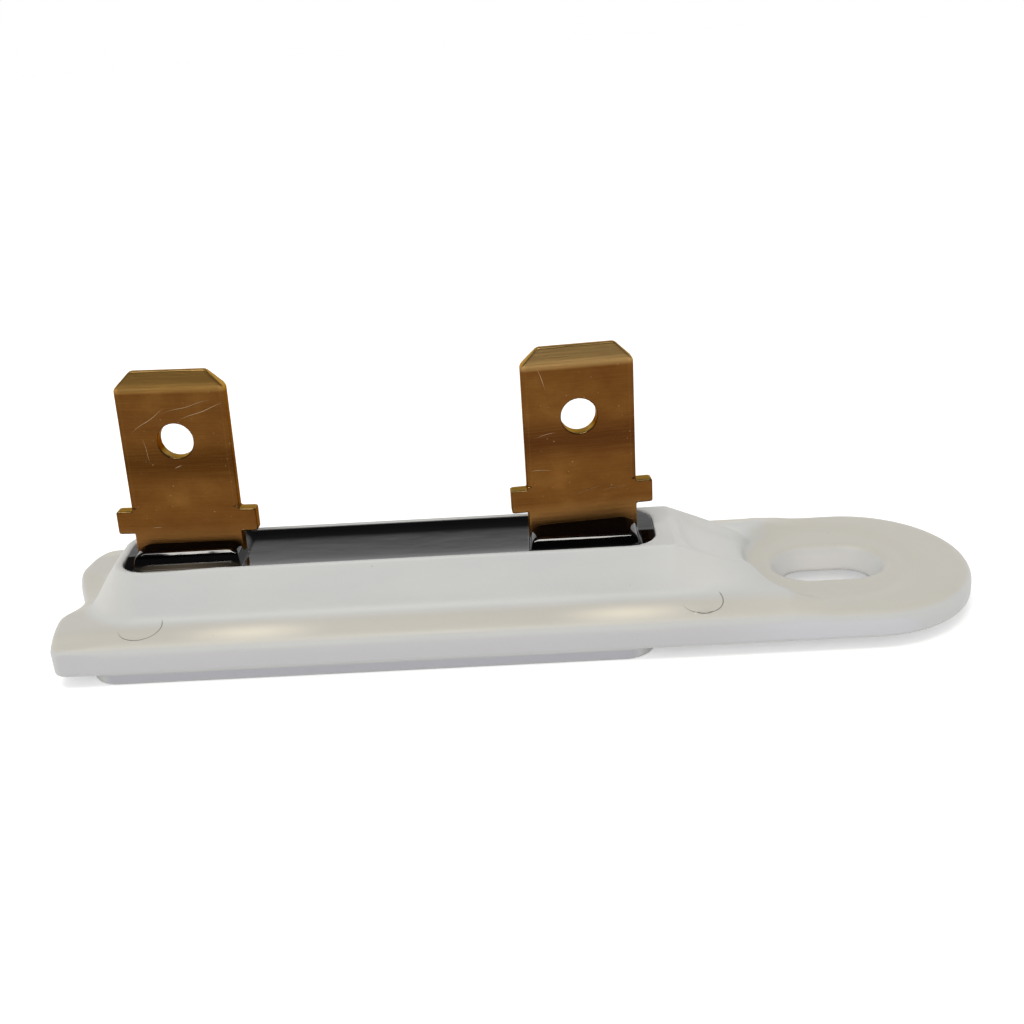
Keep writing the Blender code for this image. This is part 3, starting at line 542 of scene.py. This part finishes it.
def white_plastic():
    """Moulded plastic, cool on the ridge, with painted shade on its sides, painted warm light on the flange,
    painted light on the ramp, nose and slot, and a thin painted shadow line at the ejector marks.
    """
    s = Surface("white_plastic")
    x, y, z = s.axes()
    away = s.math("ABSOLUTE", y)
    clouds = s.noise((0.12, 0.3, 0.5), 4.0, 0.55)
    tone = s.ramp(clouds, [(0.3, (0.592, 0.602, 0.590)), (0.7, (0.622, 0.626, 0.610))])

    # Painted shade on the flange's and the pad's sides where they face sideways, lighter towards the ear; then
    # painted warm light on the flange's top where it faces up
    sideways = s.level(s.math("ABSOLUTE", s.normal_axis(1)), 0.90, 0.98)
    side_shade = s.mix(s.level(x, 10.0, 16.0), (0.575, 0.567, 0.574), (0.625, 0.618, 0.645))
    tone = s.over(tone, side_shade, sideways, s.level(z, 3.0, 2.6))
    tone = s.over(tone, (0.485, 0.480, 0.512), sideways, s.level(z, 0.9, 0.6))
    upward = s.level(s.normal_axis(2), 0.55, 0.85)
    tone = s.over(tone, (0.585, 0.560, 0.495), upward, s.level(z, 2.9, 2.7, 0.0, 0.85))

    # Painted light: the ramp, the nose and the slot's walls are made lighter
    ridge_light = s.level(z, 2.9, 3.3, 0.0, 0.7)
    tone = s.over(tone, (0.70, 0.69, 0.66), s.bell(x, 10.5, 9.0), ridge_light)
    tone = s.over(tone, (0.70, 0.685, 0.64), s.level(x, -22.0, -24.0), ridge_light)
    slot_light = s.product(s.bell(x, SLOT_CENTRE, 9.0), s.level(away, 2.6, 2.3), s.level(z, 2.15, 1.7))
    tone = s.over(tone, (0.71, 0.69, 0.66), slot_light)

    # Painted warm highlights where the flanks meet the flange's table, strongest in two patches
    highlight_band = s.product(s.bell(away, 5.75, 2.2), s.bell(z, 2.6, 0.8))
    patches = s.math("ADD", s.bell(x, -15.1, 10.0), s.bell(x, 6.0, 9.5))
    tone = s.over(tone, (0.86, 0.81, 0.69), highlight_band, s.math("MULTIPLY_ADD", patches, 0.9, 0.10))

    # A thin painted shadow line along the front and right part of each ejector boss's edge
    for place, aside, radius in EJECTORS:
        along = s.math("SUBTRACT", x, place)
        ring = s.bell(s.reach(along, s.math("SUBTRACT", away, aside)), radius - 0.05, 0.10)
        on_flange = s.product(s.level(away, 4.40, 4.60), s.level(z, 2.2, 2.3))
        facing = s.level(s.math("SUBTRACT", along, s.math("SUBTRACT", aside, away)), -0.9, 0.3)
        tone = s.over(tone, (0.10, 0.085, 0.07), ring, on_flange, facing, 0.85)

    specks = s.noise((2.6, 2.6, 2.6), 2.0, 0.5, (3.0, 1.0, 7.0))
    tone = s.over(tone, (0.22, 0.17, 0.12), s.level(specks, 0.775, 0.80, 0.0, 0.5))
    s.bump(s.noise((9.0, 9.0, 9.0), 3.0, 0.6), 0.010)
    return s.finish(tone, s.level(clouds, 0.3, 0.7, 0.36, 0.46), Specular_IOR_Level=0.45)


def black_epoxy():
    """Glossy black epoxy with a faint ripple, and a painted brownish reflection on the flat strip before the left
    blade's bead.
    """
    s = Surface("black_epoxy")
    x, y, _ = s.axes()
    clouds = s.noise((0.3, 0.8, 0.8), 3.0, 0.5)
    tone = s.ramp(clouds, [(0.3, (0.0006, 0.0005, 0.0008)), (0.7, (0.0016, 0.0013, 0.0016))])
    # Painted reflection: the flat strip before the left blade's bead is made lighter and brownish
    shelf_reflection = s.product(s.level(y, -1.84, -1.94), s.bell(x, -19.3, 9.5), s.level(x, -22.7, -22.4))
    tone = s.over(tone, (0.090, 0.076, 0.055), shelf_reflection)
    s.bump(s.noise((0.4, 0.9, 0.9), 2.0, 0.5), 0.012)
    return s.finish(tone, s.level(clouds, 0.3, 0.7, 0.03, 0.06), IOR=1.52)


# What differs between the two blades' brass. A scratch is (x, z) of its two ends and its width.
BLADE_LOOKS = {
    "left": {
        "patches": (0.0, 5.0, 0.0),
        "tarnish": (0.85, (0.066, 0.023, 0.004)),
        "neck": 0.6,
        "tip": (0.88, 0.50, 0.14),
        "scratches": ((-2.4, 4.85, -0.47, 6.15, 0.026), (-0.5, 5.92, 2.3, 6.63, 0.022),
                      (0.41, 5.5, 3.1, 6.45, 0.028), (-0.25, 2.6, 0.2, 2.75, 0.03),
                      (-2.1, -1.05, -1.5, -1.05, 0.025), (-1.9, 4.46, -1.6, 2.94, 0.012)),
    },
    "right": {
        "patches": (9.0, 2.0, 4.0),
        "tarnish": (0.95, (0.076, 0.024, 0.006)),
        "neck": 1.0,
        "tip": (0.84, 0.53, 0.20),
        "scratches": ((-2.3, 7.29, -1.8, 5.94, 0.016), (-2.45, 3.17, -1.4, 3.41, 0.022),
                      (-2.95, 1.16, -1.75, 1.14, 0.022), (-0.3, -0.5, 1.0, -0.1, 0.015),
                      (1.2, -0.4, 2.6, -0.2, 0.015)),
    },
}


def brass(side):
    """Sheared brass strip, brushed across, tarnished most below its hole, with handling scratches, painted
    highlights on its folds and painted light on edges that face up.
    """
    looks = BLADE_LOOKS[side]
    s = Surface("brass_" + side)
    x, y, z = s.axes()
    away = s.math("ABSOLUTE", x)
    brush = s.noise((0.25, 5.0, 11.0), 5.0, 0.75)
    patch = s.noise((0.35, 0.35, 0.5), 4.0, 0.6, looks["patches"])
    tone = s.ramp(patch, [(0.25, (0.110, 0.040, 0.008)), (0.55, (0.150, 0.060, 0.013)),
                          (0.8, (0.205, 0.092, 0.022))])
    amount, tarnished = looks["tarnish"]
    tone = s.over(tone, tarnished, s.bell(z, 2.9, 3.6), amount)
    tone = s.over(tone, (0.28, 0.135, 0.040), s.level(z, -0.9, -1.9, 0.0, looks["neck"]))

    # Brighter: the coined tip and the brushed lines; painted highlights along the tip's fold and the folds along
    # the sides, and painted light on edges that face up
    tone = s.over(tone, looks["tip"], s.level(z, 7.05, 7.55), 0.8)
    tone = s.over(tone, (0.52, 0.34, 0.13), s.bell(z, 7.32, 0.14), s.level(y, -0.36, -0.40), 0.15)
    tone = s.over(tone, (0.42, 0.25, 0.09), s.bell(away, 2.90, 0.12), s.level(z, 0.1, 0.4), 0.05)
    tone = s.over(tone, (0.50, 0.34, 0.14), s.level(s.normal_axis(2), 0.45, 0.80), 0.85)
    tone = s.over(tone, (0.27, 0.135, 0.035), s.level(brush, 0.45, 0.75, 0.0, 0.28))

    marks = 0.0
    for scratch in looks["scratches"]:
        marks = s.math("MAXIMUM", s.scratch(x, z, *scratch), marks)
    marks = s.product(marks, s.level(y, -0.38, -0.40))
    dots = s.level(s.noise((5.0, 5.0, 5.0), 1.0, 0.4, (1.0, 8.0, 3.0)), 0.74, 0.78)
    marks = s.math("MAXIMUM", marks, s.product(dots, 0.3))
    tone = s.over(tone, (0.75, 0.55, 0.34), marks, 0.75)
    s.bump(s.math("SUBTRACT", brush, s.product(marks, 0.6)), 0.010)
    return s.finish(tone, s.level(brush, 0.3, 0.7, 0.26, 0.42), Metallic=1.0,
                    Specular_Tint=(0.60, 0.42, 0.22, 1.0))


# The pieces inside the potting: material, darker and lighter tone, roughness, metallic and the part's nodes
INNER_FINISHES = (
    ("plated_steel", (0.50, 0.49, 0.47), (0.62, 0.61, 0.58), 0.3, 1.0,
     ("cutoff_case", "pellet_disc", "contact_disc", "barrel_spring", "trip_spring")),
    ("tinned_copper", (0.62, 0.56, 0.50), (0.72, 0.66, 0.60), 0.32, 1.0,
     ("case_lead", "isolated_lead", "star_contact")),
    ("ceramic", (0.72, 0.70, 0.66), (0.80, 0.78, 0.74), 0.55, 0.0, ("ceramic_bushing",)),
    ("sealing_resin", (0.16, 0.08, 0.03), (0.22, 0.11, 0.04), 0.35, 0.0, ("lead_seal",)),
    ("organic_pellet", (0.48, 0.45, 0.34), (0.56, 0.52, 0.40), 0.65, 0.0, ("thermal_pellet",)),
)


def dress_inner_nodes(nodes):
    """Gives the part's own solids inside the potting a mottled finish."""
    for name, dark, light, roughness, metallic, node_names in INNER_FINISHES:
        s = Surface(name)
        patch = s.noise((1.5, 1.5, 1.5), 3.0, 0.6)
        s.bump(patch, 0.01)
        finish = s.finish(s.ramp(patch, [(0.3, dark), (0.7, light)]), roughness, Metallic=metallic)
        for node_name in node_names:
            node = nodes[node_name]
            if not node.material_slots:
                node.data.materials.append(finish)
            for material_slot in node.material_slots:
                material_slot.material = finish


# Stage

def pale_floor():
    """A white paper floor that fades into the white background at its edge."""
    corners = 48
    radius = 0.9
    turns = [2 * math.pi * i / corners for i in range(corners)]
    points = [(0.0, 0.0, 0.0)] + [(radius * math.cos(turn), radius * math.sin(turn), 0.0) for turn in turns]
    mesh = bpy.data.meshes.new("floor")
    mesh.from_pydata(points, [], [(0, 1 + i, 1 + (i + 1) % corners) for i in range(corners)])
    floor = bpy.data.objects.new("floor", mesh)
    bpy.context.scene.collection.objects.link(floor)

    s = Surface("floor_paper")
    fleck = s.noise((0.02, 0.02, 0.02), 2.0, 0.5)
    s.finish(s.ramp(fleck, [(0.3, (0.88, 0.88, 0.88)), (0.7, (0.90, 0.90, 0.90))]), 0.9,
             Specular_IOR_Level=0.0, Emission_Color=(1.0, 1.0, 1.0, 1.0))
    s.feed(s.shader, "Emission Strength", s.product(s.seen_ray(), 0.38))
    x, y, _ = s.axes()
    s.feed(s.shader, "Alpha", s.level(s.reach(x, y), 200.0, 600.0, 1.0, 0.0))
    floor.data.materials.append(s.material)


def world(strength):
    """White behind the object. A gloss sees it white low and behind, and as a dark room overhead and in front."""
    made = bpy.data.worlds.new("studio")
    bpy.context.scene.world = made
    made.use_nodes = True
    tree = made.node_tree
    background = tree.nodes["Background"]
    path = tree.nodes.new("ShaderNodeLightPath")
    direction = tree.nodes.new("ShaderNodeTexCoord").outputs["Generated"]
    apart = tree.nodes.new("ShaderNodeSeparateXYZ")
    tree.links.new(direction, apart.inputs[0])

    def fade(value, low, high, start, end):
        node = tree.nodes.new("ShaderNodeMapRange")
        node.interpolation_type = "SMOOTHSTEP"
        tree.links.new(value, node.inputs["Value"])
        for name, number in (("From Min", low), ("From Max", high), ("To Min", start), ("To Max", end)):
            node.inputs[name].default_value = number
        return node.outputs[0]

    def pick(chooser, a, b):
        """Value a where the chooser is 0 and value b where it is 1."""
        node = tree.nodes.new("ShaderNodeMix")
        tree.links.new(chooser, node.inputs[0])
        for index, value in ((2, a), (3, b)):
            if hasattr(value, "is_linked"):
                tree.links.new(value, node.inputs[index])
            else:
                node.inputs[index].default_value = value
        return node.outputs[0]

    room = tree.nodes.new("ShaderNodeMath")
    room.operation = "MULTIPLY"
    overhead = fade(apart.outputs[2], 0.30, 0.60, 1.0, 0.08)
    in_front = fade(apart.outputs[1], -0.35, 0.10, 0.06, 1.0)
    tree.links.new(overhead, room.inputs[0])
    tree.links.new(in_front, room.inputs[1])
    level = pick(path.outputs["Is Glossy Ray"], strength, room.outputs[0])
    level = pick(path.outputs["Is Transmission Ray"], level, 1.0)
    level = pick(path.outputs["Is Camera Ray"], level, 1.0)
    tree.links.new(level, background.inputs["Strength"])
    background.inputs["Color"].default_value = (1.0, 1.0, 1.0, 1.0)


def lamp(name, place, target, size, power, colour):
    """A rectangular lamp turned to its target, in metres and watts."""
    data = bpy.data.lights.new(name, "AREA")
    data.shape = "RECTANGLE"
    data.size, data.size_y = size
    data.energy = power
    data.color = colour
    made = bpy.data.objects.new(name, data)
    bpy.context.scene.collection.objects.link(made)
    made.location = place
    made.rotation_euler = (Vector(target) - Vector(place)).to_track_quat("-Z", "Y").to_euler()
    return made


def camera():
    """The camera as fitted to the photograph: its place in mm, its turn in radians and its focus in pixels."""
    place = (1.951, -67.336, 36.199)
    roll, pitch, yaw = 0.0659, -0.4144, 0.031
    focus, image_width, sensor_width = 1253.4, 1024, 36.0
    data = bpy.data.cameras.new("camera")
    data.sensor_width = sensor_width
    data.lens = sensor_width * focus / image_width
    data.clip_start = 0.001
    made = bpy.data.objects.new("camera", data)
    bpy.context.scene.collection.objects.link(made)
    turn = (Matrix.Rotation(yaw, 3, "Z") @ Matrix.Rotation(pitch, 3, "X") @ Matrix.Rotation(roll, 3, "Y")
            @ Matrix.Rotation(math.pi / 2, 3, "X"))
    made.matrix_world = Matrix.Translation(Vector(place) * MM) @ turn.to_4x4()
    bpy.context.scene.camera = made


def main():
    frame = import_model()
    bpy.context.scene.view_settings.view_transform = "Standard"

    piece("housing_moulding", "housing", housing_field,
          (-27.80, -7.0, -0.25), (26.95, 7.0, 5.5), 0.17, white_plastic())
    piece("potting_fill", "potting", potting_field,
          (-23.6, -2.8, 0.2), (8.4, 2.8, 6.4), 0.095, black_epoxy())
    for side, pose in POSES.items():
        place = Matrix.Translation(Vector(pose[0]) * MM) @ turned(pose).to_4x4()
        piece("blade_" + side, "terminal_" + side, blade_field,
              (-4.3, -0.6, -6.4), (4.3, 0.6, 8.6), 0.1, brass(side), place)
    dress_inner_nodes(frame["nodes"])

    pale_floor()
    world(0.62)
    lamp("ceiling_light", (-0.14, -0.235, 0.97), (-0.008, 0, 0), (0.46, 0.14), 2.8, (1.0, 0.96, 0.90))
    fill = lamp("front_fill", (-0.30, -1.10, 0.75), (0, 0, 0), (1.0, 0.7), 2.7, (0.94, 0.97, 1.0))
    fill.visible_glossy = False
    camera()


main()
